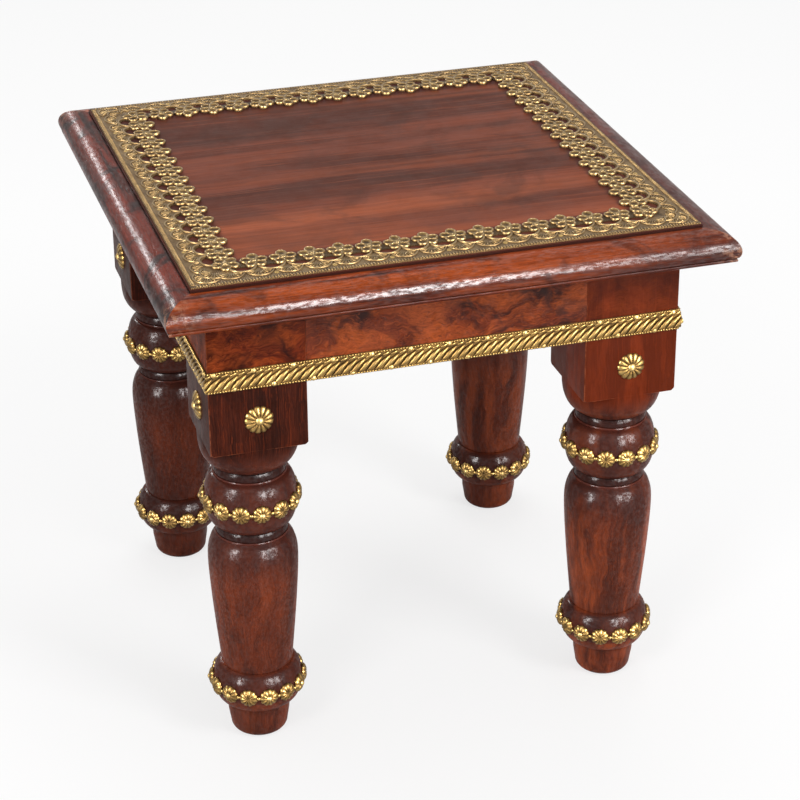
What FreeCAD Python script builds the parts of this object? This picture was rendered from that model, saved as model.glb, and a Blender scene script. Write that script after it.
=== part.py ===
import FreeCAD, Part
import math
import os

# Low square occasional table: a moulded board top on a tenoned frame with four turned legs, trimmed with
# pressed brass. Millimetres, Z up. The origin is on the floor, under the middle of the top.

Vector = FreeCAD.Vector

# Top
table_height = 354.0
panel_width = 340.0
panel_depth = 340.0
board_count = 3
board_thickness = 22.0
panel_step = 2.2
moulding_width = 20.0
moulding_shoulder = 3.5
moulding_nose_height = 12.0
moulding_toe = 3.0
tongue_depth = 6.0
tongue_thickness = 6.0

# Frame, set in from the edge of the raised field
apron_inset = 10.0
rail_height = 55.6
rail_thickness = 20.0
post_side = 65.0
block_drop = 46.0
tenon_length = 25.0
tenon_thickness = 8.0
tenon_shoulder = 7.0

# Leg turning, from the block down; the vase takes the height that is left
cup_flare = 1.5
cup_height = 20.6
neck_height = 8.6
neck_radius = 21.2
step_radius = 23.2
step_height = 1.6
bead_height = 36.6
bead_radius = 31.2
waist_height = 8.6
waist_radius = 21.2
vase_radius = 30.4
vase_profile_shares = [(0.80, 0.0), (0.93, 0.055), (1.0, 0.19), (0.935, 0.55), (0.80, 1.0)]
ring_height = 30.0
ring_radius = 30.8
ring_neck_radius = 23.4
foot_height = 25.6
foot_radius = 19.6
foot_edge = 6.0

# Brass border on the top
border_inset = 1.0
border_thickness = 0.8
border_flowers = 16
flower_line = 28.0
flower_reach = 10.0
flower_web = 1.0
petal_notch = 5.4
petal_notch_share = 0.18
petal_swell_share = 0.45
corner_swell_share = 0.47
opening_outer = 15.2
opening_side = 19.0
opening_inner = 22.6
opening_width = 12.0
border_nail_line = 8.0
border_nail_every = 2

# Brass rope band round the apron
band_height = 14.6
band_sheet = 0.8
band_edge = 3.4
band_edge_rise = 0.8
rope_rise = 2.0
rope_pitch = 6.2
rope_lean = 7.4
band_nail_pitch = 26.0
band_nail_inset = 1.7

# Brass rosettes and rosette chains
rosette_radius = 9.7
rosette_petals = 12
rosette_rim = 1.2
rosette_rise = 1.6
chain_rosettes = 14
chain_rosette_radius = 6.4
chain_rim = 1.2
chain_rise = 1.4
link_height = 3.2
link_thickness = 0.8
petal_valley_share = 0.88
dish_base_share = 0.8
dish_top_share = 0.42

# Nails and screws
nail_head_radius = 1.7
nail_head_rise = 0.8
rosette_boss_radius = 2.8
rosette_boss_rise = 1.6
chain_boss_radius = 2.0
chain_boss_rise = 1.2
nail_radius = 0.5
nail_length = 7.0
screw_radius = 2.0
screw_head_radius = 3.8
screw_head_rise = 2.4
screw_bite = 12.0

# Blocks that hold the top down
top_block_side = 24.0
top_block_length = 80.0
top_block_screw_inset = 15.0

# Fits
joint_clearance = 0.1
nail_clearance = 0.05
chain_clearance = 0.1
overrun = 5.0

# Levels and places that follow from the sizes above
top_underside = table_height - board_thickness
moulding_top = table_height - panel_step
rail_bottom = top_underside - rail_height
block_bottom = rail_bottom - block_drop
bead_top = block_bottom - cup_height - neck_height
bead_bottom = bead_top - bead_height
vase_top = bead_bottom - waist_height
ring_top = foot_height + ring_height
vase_height = vase_top - ring_top
bead_level = bead_top - bead_height / 2
ring_level = foot_height + ring_height / 2
tongue_bottom = top_underside + (board_thickness - panel_step - tongue_thickness) / 2
block_face_middle = (rail_bottom + block_bottom) / 2
band_thickness = band_sheet + rope_rise
apron_width = panel_width - 2 * apron_inset
apron_depth = panel_depth - 2 * apron_inset
leg_x = (apron_width - post_side) / 2
leg_y = (apron_depth - post_side) / 2
legs = {
    "front_left": (-leg_x, -leg_y),
    "front_right": (leg_x, -leg_y),
    "back_left": (-leg_x, leg_y),
    "back_right": (leg_x, leg_y),
}
side_legs = {
    "front": ("front_left", "front_right"),
    "right": ("front_right", "back_right"),
    "back": ("back_right", "back_left"),
    "left": ("back_left", "front_left"),
}


def sides(width, depth):
    """Each side's name, its turn from the front, its length and how far it lies from the middle."""
    return [
        ("front", 0, width, depth / 2),
        ("right", 90, depth, width / 2),
        ("back", 180, width, depth / 2),
        ("left", 270, depth, width / 2),
    ]


def turned(shape, angle):
    """A copy of the shape, turned about the table's middle."""
    copy = shape.copy()
    copy.rotate(Vector(), Vector(0, 0, 1), angle)
    return copy


def moved(shape, x, y, z):
    copy = shape.copy()
    copy.translate(Vector(x, y, z))
    return copy


def box(low, high):
    size = Vector(*high) - Vector(*low)
    return Part.makeBox(size.x, size.y, size.z, Vector(*low))


def line(start, end):
    return Part.makeLine(Vector(*start), Vector(*end))


def arc(start, through, end):
    return Part.Arc(Vector(*start), Vector(*through), Vector(*end)).toShape()


def prism(edges, holes, along):
    """Push a flat outline, less its holes, along a vector."""
    wires = [Part.Wire(edges)] + [Part.Wire(hole) for hole in holes]
    return Part.makeFace(wires, "Part::FaceMakerBullseye").extrude(Vector(*along))


def mitre_prism(length, distance, depth, low, high):
    """The space of one front piece between its two mitres, from its outer edge inwards."""
    half = length / 2
    outer = -distance
    inner = depth - distance
    inner_half = half - depth
    corners = [(-half, outer, low), (half, outer, low), (inner_half, inner, low), (-inner_half, inner, low)]
    edges = [line(corners[i - 1], corners[i]) for i in range(len(corners))]
    return prism(edges, [], (0, 0, high - low))


def revolved(edges):
    """Spin a closed outline in the XZ plane about the Z axis."""
    full_turn = 360
    return Part.Face(Part.Wire(edges)).revolve(Vector(), Vector(0, 0, 1), full_turn)


def drilled(shape, tools):
    """The shape, less those tools that reach it."""
    near = [tool for tool in tools if tool.BoundBox.intersect(shape.BoundBox)]
    return shape.cut(near) if near else shape


def save(name, solids):
    Part.makeCompound(solids).exportStep(os.path.join("parts", name + ".step"))


def nail(head_radius, head_rise, seat):
    """A domed nail on the Z axis, its head's underside at the seat and its point in the wood below."""
    tip = seat - nail_length
    dome_radius = (head_radius ** 2 + head_rise ** 2) / (2 * head_rise)
    half_angle = math.asin(head_radius / dome_radius) / 2
    dome_drop = dome_radius * (1 - math.cos(half_angle))
    dome = (dome_radius * math.sin(half_angle), 0, seat + head_rise - dome_drop)
    return revolved([
        line((0, 0, tip), (nail_radius, 0, tip)),
        line((nail_radius, 0, tip), (nail_radius, 0, seat)),
        line((nail_radius, 0, seat), (head_radius, 0, seat)),
        arc((head_radius, 0, seat), dome, (0, 0, seat + head_rise)),
        line((0, 0, seat + head_rise), (0, 0, tip)),
    ])


def nail_hole(seat):
    """The hole that a nail's shank fills, open at the top."""
    depth = nail_length + nail_clearance
    return Part.makeCylinder(nail_radius + nail_clearance, depth + overrun, Vector(0, 0, seat - depth))


def facing_front(shape):
    """Turn a piece that points up so that it points out of the front."""
    copy = shape.copy()
    copy.rotate(Vector(), Vector(1, 0, 0), 90)
    return copy


def rosette(radius, rim, rise):
    """A petalled plate with a raised dish, its back on the XY plane, bored for its nail."""
    step = 2 * math.pi / rosette_petals
    valley = radius * petal_valley_share
    edges = []
    for i in range(rosette_petals):
        start, middle, end = (i * step, (i + 0.5) * step, (i + 1) * step)
        edges.append(arc(
            (valley * math.cos(start), valley * math.sin(start), 0),
            (radius * math.cos(middle), radius * math.sin(middle), 0),
            (valley * math.cos(end), valley * math.sin(end), 0),
        ))
    plate = prism(edges, [], (0, 0, rim))
    dish = Part.makeCone(radius * dish_base_share, radius * dish_top_share, rise, Vector(0, 0, rim))
    return plate.fuse(dish)


# Nails first, because the pieces below are drilled for them
trim_holes = []
border_nails = []
for name, angle, length, distance in sides(panel_width, panel_depth):
    run = length - 2 * (border_inset + flower_line)
    pitch = run / (border_flowers - 1)
    for k in range(1, border_flowers - 1, border_nail_every):
        place = ((k + 0.5) * pitch - run / 2, border_inset + border_nail_line - distance, table_height)
        stud = nail(nail_head_radius, nail_head_rise, border_thickness)
        border_nails.append(turned(moved(stud, *place), angle))
        trim_holes.append(turned(moved(nail_hole(border_thickness), *place), angle))

band_nails = []
band_seat = band_sheet + band_edge_rise
for name, angle, length, distance in sides(apron_width, apron_depth):
    half_steps = int((length - 2 * band_edge) / band_nail_pitch)
    for k in range(-half_steps, half_steps + 1):
        upper = (k + half_steps) % 2 == 0
        level = rail_bottom + (band_height - band_nail_inset if upper else band_nail_inset)
        place = (k * band_nail_pitch / 2, -distance, level)
        stud = facing_front(nail(nail_head_radius, nail_head_rise, band_seat))
        band_nails.append(turned(moved(stud, *place), angle))
        trim_holes.append(turned(moved(facing_front(nail_hole(band_seat)), *place), angle))

rosette_nails = []
rosette_places = {}
rosette_seat = rosette_rim + rosette_rise
for name, angle, length, distance in sides(apron_width, apron_depth):
    for leg_name, shift in zip(side_legs[name], (post_side - length, length - post_side)):
        place = (shift / 2, -distance, block_face_middle)
        rosette_places[leg_name + "_" + name] = (place, angle)
        stud = facing_front(nail(rosette_boss_radius, rosette_boss_rise, rosette_seat))
        rosette_nails.append(turned(moved(stud, *place), angle))
        trim_holes.append(turned(moved(facing_front(nail_hole(rosette_seat)), *place), angle))

chain_nails = []
chain_seat = chain_rim + chain_rise
chain_step = 360 / chain_rosettes
for leg_name, (x, y) in legs.items():
    for radius, level in ((bead_radius, bead_level), (ring_radius, ring_level)):
        for i in range(0, chain_rosettes, 2):
            place = (0, -radius - chain_clearance, level)
            stud = facing_front(nail(chain_boss_radius, chain_boss_rise, chain_seat))
            stud = turned(moved(stud, *place), i * chain_step)
            hole = turned(moved(facing_front(nail_hole(chain_seat)), *place), i * chain_step)
            chain_nails.append(moved(stud, x, y, 0))
            trim_holes.append(moved(hole, x, y, 0))

# Blocks under the top, each with two screws up into the boards
top_blocks = {}
screws = []
screw_holes = []
screw_reach = top_block_side + screw_bite
for name, angle, length, distance in sides(apron_width, apron_depth):
    inner = rail_thickness - distance
    low = (-top_block_length / 2, inner, top_underside - top_block_side)
    high = (top_block_length / 2, inner + top_block_side, top_underside)
    top_blocks[name] = turned(box(low, high), angle)
    for way in (-1, 1):
        along = way * (top_block_length / 2 - top_block_screw_inset)
        place = Vector(along, inner + top_block_side / 2, low[2])
        head = Part.makeCylinder(screw_head_radius, screw_head_rise, place - Vector(0, 0, screw_head_rise))
        shank = Part.makeCylinder(screw_radius, screw_reach, place)
        hole_start = place - Vector(0, 0, overrun)
        hole_length = overrun + screw_reach + joint_clearance
        hole = Part.makeCylinder(screw_radius + joint_clearance, hole_length, hole_start)
        screws.append(turned(head.fuse(shank), angle))
        screw_holes.append(turned(hole, angle))


def top_boards():
    """Edge-glued boards, grooved all round for the mouldings' tongues."""
    half_x = panel_width / 2
    half_y = panel_depth / 2
    reach = tongue_depth + joint_clearance
    low = tongue_bottom - joint_clearance
    high = tongue_bottom + tongue_thickness + joint_clearance
    outer = box((-half_x - overrun, -half_y - overrun, low), (half_x + overrun, half_y + overrun, high))
    inner = box((reach - half_x, reach - half_y, low), (half_x - reach, half_y - reach, high))
    groove = outer.cut(inner)
    board_depth = panel_depth / board_count
    boards = []
    for i in range(board_count):
        front = i * board_depth - half_y
        board = box((-half_x, front, top_underside), (half_x, front + board_depth, table_height))
        boards.append(drilled(board.cut(groove), trim_holes + screw_holes))
    return boards


def edge_moulding(length, distance):
    """A front moulding: a level shoulder, a long rounded nose, a short under-curve and a tongue behind."""
    outer = -distance - moulding_width
    inner = -distance
    nose = moulding_top - moulding_nose_height
    toe = outer + moulding_toe
    shoulder = inner - moulding_shoulder
    brow = (outer + (shoulder - outer) * (1 - math.sqrt(0.5)), nose + moulding_nose_height * math.sqrt(0.5))
    under = (outer + moulding_toe * (1 - math.sqrt(0.5)), nose - (nose - top_underside) * math.sqrt(0.5))
    tongue_top = tongue_bottom + tongue_thickness
    half = length / 2 + moulding_width
    outline = [
        line((-half, inner, moulding_top), (-half, shoulder, moulding_top)),
        arc((-half, shoulder, moulding_top), (-half,) + brow, (-half, outer, nose)),
        arc((-half, outer, nose), (-half,) + under, (-half, toe, top_underside)),
        line((-half, toe, top_underside), (-half, inner, top_underside)),
        line((-half, inner, top_underside), (-half, inner, tongue_bottom)),
        line((-half, inner, tongue_bottom), (-half, inner + tongue_depth, tongue_bottom)),
        line((-half, inner + tongue_depth, tongue_bottom), (-half, inner + tongue_depth, tongue_top)),
        line((-half, inner + tongue_depth, tongue_top), (-half, inner, tongue_top)),
        line((-half, inner, tongue_top), (-half, inner, moulding_top)),
    ]
    stick = prism(outline, [], (2 * half, 0, 0))
    depth = moulding_width + tongue_depth + overrun
    room = mitre_prism(2 * half, -outer, depth, top_underside - overrun, table_height + overrun)
    return stick.common(room)


def border_strip(length, distance):
    """A front border strip: a pierced sheet whose inner edge is a row of flowers."""
    run = length - 2 * flower_line
    pitch = run / (border_flowers - 1)
    outer = -distance
    flowers = outer + flower_line
    notch = flowers + petal_notch
    web = flowers + flower_web
    tip = flowers + flower_reach
    z = table_height
    diagonal = flower_reach * math.sqrt(0.5)
    side_level = (web + notch) / 2
    edges = [line((-length / 2, outer, z), (length / 2, outer, z))]
    right_corner = (run / 2 - diagonal, flowers + diagonal, z)
    left_corner = (diagonal - run / 2, flowers + diagonal, z)
    edges.append(line((length / 2, outer, z), right_corner))
    swell = pitch * petal_swell_share
    corner_swell = pitch * corner_swell_share
    slip = pitch * petal_notch_share
    first_web = (run / 2 - pitch / 2, web, z)
    last_web = (pitch / 2 - run / 2, web, z)
    edges.append(arc(right_corner, (run / 2 - corner_swell, side_level, z), first_web))
    for k in range(border_flowers - 2, 0, -1):
        s = k * pitch - run / 2
        edges.append(arc((s + pitch / 2, web, z), (s + swell, side_level, z), (s + slip, notch, z)))
        edges.append(arc((s + slip, notch, z), (s, tip, z), (s - slip, notch, z)))
        edges.append(arc((s - slip, notch, z), (s - swell, side_level, z), (s - pitch / 2, web, z)))
    edges.append(arc(last_web, (corner_swell - run / 2, side_level, z), left_corner))
    edges.append(line(left_corner, (-length / 2, outer, z)))
    holes = []
    for k in range(border_flowers - 1):
        s = (k + 0.5) * pitch - run / 2
        left = (s - opening_width / 2, outer + opening_side, z)
        right = (s + opening_width / 2, outer + opening_side, z)
        holes.append([
            arc(left, (s, outer + opening_outer, z), right),
            arc(right, (s, outer + opening_inner, z), left),
        ])
    return prism(edges, holes, (0, 0, border_thickness))


def apron_rail(length, distance):
    """A front rail between its two posts, with a stub tenon at each end."""
    half = length / 2 - post_side
    back = rail_thickness - distance
    body = box((-half, -distance, rail_bottom), (half, back, top_underside))
    cheek = (rail_thickness - tenon_thickness) / 2
    tenon_low = (-half - tenon_length, cheek - distance, rail_bottom + tenon_shoulder)
    tenon_high = (half + tenon_length, back - cheek, top_underside - tenon_shoulder)
    return body.fuse(box(tenon_low, tenon_high))


def mortise(length, distance):
    """The space in the posts for a front rail's tenons."""
    half = length / 2 - post_side + tenon_length + joint_clearance
    cheek = (rail_thickness - tenon_thickness) / 2 - joint_clearance
    shoulder = tenon_shoulder - joint_clearance
    low = (-half, cheek - distance, rail_bottom + shoulder)
    high = (half, rail_thickness - cheek - distance, top_underside - shoulder)
    return box(low, high)


def half_oval(inner_radius, outer_radius, top, height):
    """The outline of a turned swelling, from its top to its bottom."""
    middle = Vector(inner_radius, 0, top - height / 2)
    across = middle + Vector(outer_radius - inner_radius, 0, 0)
    upper = middle + Vector(0, 0, height / 2)
    rise = height / 2
    reach = outer_radius - inner_radius
    if rise > reach:
        return Part.ArcOfEllipse(Part.Ellipse(upper, across, middle), 0, math.pi).toShape()
    lower_start = -math.pi / 2
    return Part.ArcOfEllipse(Part.Ellipse(across, upper, middle), lower_start, math.pi / 2).toShape()


def leg_turning():
    """The turned length of a leg, on the Z axis, from the block's underside to the floor."""
    cup_radius = post_side / 2 + cup_flare
    cup_bottom = block_bottom - cup_height
    lean = math.sqrt(0.5)
    cup_middle = (step_radius + (cup_radius - step_radius) * lean, 0, block_bottom - cup_height * lean)
    step_top = bead_top + step_height
    waist_low = vase_top + step_height
    waist_high = bead_bottom - step_height
    swellings = [(r * vase_radius, 0, vase_top - h * vase_height) for r, h in vase_profile_shares]
    vase = Part.BSplineCurve()
    vase.interpolate([Vector(*place) for place in swellings])
    vase_start = vase.StartPoint
    vase_end = vase.EndPoint
    foot_top_radius = (ring_neck_radius + foot_radius) / 2
    foot_round = (foot_radius - foot_edge * (1 - lean), 0, foot_edge * (1 - lean))
    sole_radius = foot_radius - foot_edge
    outline = [
        line((0, 0, block_bottom), (cup_radius, 0, block_bottom)),
        arc((cup_radius, 0, block_bottom), cup_middle, (step_radius, 0, cup_bottom)),
        line((step_radius, 0, cup_bottom), (neck_radius, 0, cup_bottom)),
        line((neck_radius, 0, cup_bottom), (neck_radius, 0, step_top)),
        line((neck_radius, 0, step_top), (step_radius, 0, step_top)),
        line((step_radius, 0, step_top), (step_radius, 0, bead_top)),
        half_oval(step_radius, bead_radius, bead_top, bead_height),
        line((step_radius, 0, bead_bottom), (step_radius, 0, waist_high)),
        line((step_radius, 0, waist_high), (waist_radius, 0, waist_high)),
        line((waist_radius, 0, waist_high), (waist_radius, 0, waist_low)),
        line((waist_radius, 0, waist_low), (step_radius, 0, waist_low)),
        line((step_radius, 0, waist_low), (step_radius, 0, vase_top)),
        line((step_radius, 0, vase_top), tuple(vase_start)),
        vase.toShape(),
        line(tuple(vase_end), (ring_neck_radius, 0, ring_top)),
        half_oval(ring_neck_radius, ring_radius, ring_top, ring_height),
        line((ring_neck_radius, 0, foot_height), (foot_top_radius, 0, foot_height)),
        line((foot_top_radius, 0, foot_height), (foot_radius, 0, foot_edge)),
        arc((foot_radius, 0, foot_edge), foot_round, (sole_radius, 0, 0)),
        line((sole_radius, 0, 0), (0, 0, 0)),
        line((0, 0, 0), (0, 0, block_bottom)),
    ]
    return revolved(outline)


def leg_blank():
    """A leg before its mortises: the square post and block, whose flats run down into the turned cup."""
    half = post_side / 2
    post = box((-half, -half, block_bottom), (half, half, top_underside))
    flats = box((-half, -half, 0), (half, half, block_bottom))
    return post.fuse(leg_turning().common(flats))


def rope_band(length, distance):
    """A front band: a sheet with raised edges and a row of leaning rounded ribs between them."""
    face = -distance - band_sheet
    edge = face - band_edge_rise
    rib = face - rope_rise
    half = length / 2 + band_thickness
    top = rail_bottom + band_height
    low_edge = rail_bottom + band_edge
    high_edge = top - band_edge
    low_bead = (rail_bottom + low_edge) / 2
    high_bead = (high_edge + top) / 2
    start = -half
    outline = [
        line((start, -distance, rail_bottom), (start, face, rail_bottom)),
        arc((start, face, rail_bottom), (start, edge, low_bead), (start, face, low_edge)),
        line((start, face, low_edge), (start, face, high_edge)),
        arc((start, face, high_edge), (start, edge, high_bead), (start, face, top)),
        line((start, face, top), (start, -distance, top)),
        line((start, -distance, top), (start, -distance, rail_bottom)),
    ]
    sheet = prism(outline, [], (2 * half, 0, 0))
    rope_start = -half - rope_lean - rope_pitch
    rib_count = math.ceil((half - rope_start) / rope_pitch)
    rope_end = rope_start + rib_count * rope_pitch
    ribs = []
    for i in range(rib_count):
        s = rope_start + i * rope_pitch
        ribs.append(arc(
            (s, face, low_edge), (s + rope_pitch / 2, rib, low_edge), (s + rope_pitch, face, low_edge)))
    back = face + band_sheet / 2
    ribs.append(line((rope_end, face, low_edge), (rope_end, back, low_edge)))
    ribs.append(line((rope_end, back, low_edge), (rope_start, back, low_edge)))
    ribs.append(line((rope_start, back, low_edge), (rope_start, face, low_edge)))
    rope = prism(ribs, [], (rope_lean, 0, high_edge - low_edge))
    depth = band_thickness + overrun
    room = mitre_prism(2 * half, -rib, depth, rail_bottom - overrun, top + overrun)
    return sheet.common(room).fuse(rope.common(room))


def rosette_chain(radius, level):
    """A ring of petalled plates joined by a narrow link band, round a turned swelling on the Z axis."""
    inner = radius + chain_clearance
    low = Vector(0, 0, level - link_height / 2)
    band = Part.makeCylinder(inner + link_thickness, link_height, low)
    band = band.cut(Part.makeCylinder(inner, link_height, low))
    plate = moved(facing_front(rosette(chain_rosette_radius, chain_rim, chain_rise)), 0, -inner, level)
    return band.fuse([turned(plate, i * chain_step) for i in range(chain_rosettes)])


os.makedirs("parts", exist_ok=True)

for name, board in zip(("front", "middle", "back"), top_boards()):
    save("top_board_" + name, [board])
for name, angle, length, distance in sides(panel_width, panel_depth):
    save("edge_moulding_" + name, [turned(edge_moulding(length, distance), angle)])
mortises = []
for name, angle, length, distance in sides(apron_width, apron_depth):
    mortises.append(turned(mortise(length, distance), angle))
    save("apron_rail_" + name, [drilled(turned(apron_rail(length, distance), angle), trim_holes)])
    save("apron_band_" + name, [drilled(turned(rope_band(length, distance), angle), trim_holes)])
    save("top_block_" + name, [drilled(top_blocks[name], screw_holes)])

blank = leg_blank()
chains = {
    "upper": rosette_chain(bead_radius, bead_level),
    "lower": rosette_chain(ring_radius, ring_level),
}
for name, (x, y) in legs.items():
    save("leg_" + name, [drilled(moved(blank, x, y, 0), mortises + trim_holes)])
    for row, chain in chains.items():
        save("chain_" + row + "_" + name, [drilled(moved(chain, x, y, 0), trim_holes)])

ornament = rosette(rosette_radius, rosette_rim, rosette_rise)
for name, (place, angle) in rosette_places.items():
    save("rosette_" + name, [drilled(turned(moved(facing_front(ornament), *place), angle), trim_holes)])
for name, angle, length, distance in sides(panel_width, panel_depth):
    strip = border_strip(length - 2 * border_inset, distance - border_inset)
    save("border_strip_" + name, [drilled(turned(strip, angle), trim_holes)])

save("border_nails", border_nails)
save("apron_band_nails", band_nails)
save("rosette_nails", rosette_nails)
save("chain_nails", chain_nails)
save("top_block_screws", screws)
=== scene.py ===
# %% [markdown]
# # A low brass-trimmed table
# The table is a square of lacquered hardwood: a moulded top, a tenoned frame and four turned legs.
# Pressed brass dresses it: an openwork border on the top, a rope band round the apron, and rosettes on
# the legs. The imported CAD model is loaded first, because every piece here is placed on it.

# %% Load the frame
import math

import bpy
from mathutils import Matrix, Vector


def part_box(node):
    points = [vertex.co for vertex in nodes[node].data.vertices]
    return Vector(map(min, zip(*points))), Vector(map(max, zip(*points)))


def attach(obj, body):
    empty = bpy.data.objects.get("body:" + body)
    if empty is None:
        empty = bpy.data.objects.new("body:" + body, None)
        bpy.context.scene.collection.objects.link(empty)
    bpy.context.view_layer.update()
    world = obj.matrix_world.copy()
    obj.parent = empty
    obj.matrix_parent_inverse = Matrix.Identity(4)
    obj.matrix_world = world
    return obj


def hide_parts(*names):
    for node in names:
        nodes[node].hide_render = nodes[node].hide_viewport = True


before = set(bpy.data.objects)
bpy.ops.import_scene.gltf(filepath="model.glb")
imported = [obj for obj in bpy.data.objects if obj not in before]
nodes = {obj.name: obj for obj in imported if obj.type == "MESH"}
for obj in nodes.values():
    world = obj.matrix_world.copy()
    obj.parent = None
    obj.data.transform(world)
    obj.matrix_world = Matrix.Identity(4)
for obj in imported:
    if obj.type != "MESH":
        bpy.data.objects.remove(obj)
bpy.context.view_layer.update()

mm = 0.001

# %% [markdown]
# A few sizes are read from the frame, so that the new pieces land on the CAD pieces. The rest are the
# sizes of the ornament itself, in millimetres, which the frame doesn't give one by one.

# %% Sizes read from the frame
top_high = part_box("top_board_middle")[1]
panel_half = top_high[0]
panel_top = top_high[2]
moulding_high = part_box("edge_moulding_front")[1]
moulding_half = moulding_high[0]
moulding_top = moulding_high[2]
apron_half = -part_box("apron_rail_front")[0][1]
leg_low, leg_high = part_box("leg_front_left")
post_side = leg_high[0] - leg_low[0]
leg_centre = apron_half - post_side / 2
top_underside = leg_high[2]
band_low, band_high = [corner[2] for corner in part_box("apron_band_front")]
border_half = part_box("border_strip_front")[1][0]
sides = {"front": 0, "right": 90, "back": 180, "left": 270}
lengthways = ("front", "back")
corners = {
    "front_left": (-leg_centre, -leg_centre),
    "front_right": (leg_centre, -leg_centre),
    "back_left": (-leg_centre, leg_centre),
    "back_right": (leg_centre, leg_centre),
}
print("panel half", round(panel_half, 4), "apron half", round(apron_half, 4), "post", round(post_side, 4))

# %% [markdown]
# Blender's operators act on whatever is selected, so each piece starts with nothing selected. These
# helpers do what a hand would do again and again: pick up one piece, go in and out of edit mode, copy and
# join pieces, and put a finished piece on the table with its own name, finish and CAD node.

# %% Helpers for modelling
merge_distance = 1e-6


def leave_edit():
    bpy.ops.object.mode_set(mode="OBJECT")


def edit_all():
    bpy.ops.object.mode_set(mode="EDIT")
    bpy.ops.mesh.select_all(action="SELECT")


def nothing_selected():
    if bpy.context.object and bpy.context.object.mode != "OBJECT":
        leave_edit()
    bpy.ops.object.select_all(action="DESELECT")


def only(piece):
    """Select one piece and make it the active one."""
    nothing_selected()
    piece.select_set(True)
    bpy.context.view_layer.objects.active = piece


def at_origin(piece):
    """Put a piece's place, turn and scale into its mesh."""
    only(piece)
    bpy.ops.object.transform_apply(location=True, rotation=True, scale=True)
    return piece


def merge_doubles():
    edit_all()
    bpy.ops.mesh.remove_doubles(threshold=merge_distance)


def smooth(piece, degrees):
    """Shade a piece smooth, apart from the edges that are sharper than an angle."""
    only(piece)
    bpy.ops.object.shade_smooth_by_angle(angle=math.radians(degrees))
    return piece


def finished(piece, degrees):
    """End the edit of a solid: merge its doubles, point its faces outwards and shade it smooth."""
    merge_doubles()
    bpy.ops.mesh.normals_make_consistent(inside=False)
    return smooth(piece, degrees)


def copied(piece, matrix):
    """A copy with its own mesh, moved inside that mesh so that the object stays at the origin."""
    copy = piece.copy()
    copy.data = piece.data.copy()
    copy.data.transform(matrix)
    bpy.context.collection.objects.link(copy)
    return copy


def joined(pieces):
    only(pieces[0])
    for piece in pieces:
        piece.select_set(True)
    bpy.ops.object.join()
    return bpy.context.object


def discard(*pieces):
    for piece in pieces:
        bpy.data.objects.remove(piece)


def dressed(piece, material):
    piece.data.materials.clear()
    piece.data.materials.append(material)


def placed(piece, name, slot, material, *replaced):
    """Name a finished piece, give it its finish and tie it to the table."""
    piece.name = name
    piece.data.name = name
    dressed(piece, material)
    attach(piece, "root")
    if replaced:
        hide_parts(*replaced)
    print(name, len(piece.data.polygons), "faces")


def turn(angle):
    return Matrix.Rotation(math.radians(angle), 4, "Z")


def spot(x, y, z):
    return Matrix.Translation((x, y, z))


# %% [markdown]
# ## Finishes
# A material is a small graph of nodes. Two effects are used by more than one material, so each is built
# once as a node group: the figure of the wood, and the patina of the brass. A group only puts out
# colours, masks and heights; the shader itself stays in each material.

# %% Helpers for node graphs
# the sockets of a Mix node that take the factor and the two colours
mix_sockets = (0, 6, 7)
mix_result = 2


def feed(tree, socket, value):
    """Link a socket to another node's output, or set it to a value."""
    if isinstance(value, bpy.types.NodeSocket):
        tree.links.new(value, socket)
    else:
        socket.default_value = value


def add(tree, kind, **settings):
    """Add a node. A setting is one of the node's properties, or else it feeds the input of that name."""
    made = tree.nodes.new(kind)
    for key, value in settings.items():
        if hasattr(made, key):
            setattr(made, key, value)
        else:
            feed(tree, made.inputs[key.replace("_", " ")], value)
    return made


def noise(tree, vector, scale, detail, roughness, distortion=0.0):
    made = add(tree, "ShaderNodeTexNoise", Vector=vector, Scale=scale, Detail=detail, Roughness=roughness,
               Distortion=distortion)
    return made.outputs["Fac"]


def ramp(tree, value, low, high, out_low=0.0, out_high=1.0):
    """Stretch the part of a value between low and high, with soft ends."""
    made = add(tree, "ShaderNodeMapRange", interpolation_type="SMOOTHSTEP", Value=value,
               From_Min=low, From_Max=high, To_Min=out_low, To_Max=out_high)
    return made.outputs["Result"]


def mix_colour(tree, factor, first, second, blend="MIX"):
    made = add(tree, "ShaderNodeMix", data_type="RGBA", blend_type=blend)
    for index, value in zip(mix_sockets, (factor, first, second)):
        feed(tree, made.inputs[index], value)
    return made.outputs[mix_result]


def reckoned(tree, kind, operation, first, second):
    made = add(tree, kind, operation=operation)
    for socket, value in zip(made.inputs, (first, second)):
        feed(tree, socket, value)
    return made.outputs[0]


def maths(tree, operation, first, second):
    return reckoned(tree, "ShaderNodeMath", operation, first, second)


def times(tree, first, second):
    return maths(tree, "MULTIPLY", first, second)


def stretched(tree, vector, factors):
    return reckoned(tree, "ShaderNodeVectorMath", "MULTIPLY", vector, factors)


def moved(tree, vector, offset):
    return reckoned(tree, "ShaderNodeVectorMath", "ADD", vector, offset)


def axes(tree, place):
    return add(tree, "ShaderNodeSeparateXYZ", Vector=place).outputs


def from_middle(tree, parts):
    """How far a place lies from the middle of the table, along X and along Y."""
    return [maths(tree, "ABSOLUTE", parts[axis], 0.0) for axis in ("X", "Y")]


def group_with(name, inputs, outputs):
    """A new node group: its tree, what it is given and what it puts out."""
    tree = bpy.data.node_groups.new(name, "ShaderNodeTree")
    for label, kind, value in inputs:
        socket = tree.interface.new_socket(label, in_out="INPUT", socket_type="NodeSocket" + kind)
        if value is not None:
            socket.default_value = value
    for label, kind in outputs:
        tree.interface.new_socket(label, in_out="OUTPUT", socket_type="NodeSocket" + kind)
    return tree, tree.nodes.new("NodeGroupInput").outputs, tree.nodes.new("NodeGroupOutput").inputs


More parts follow.
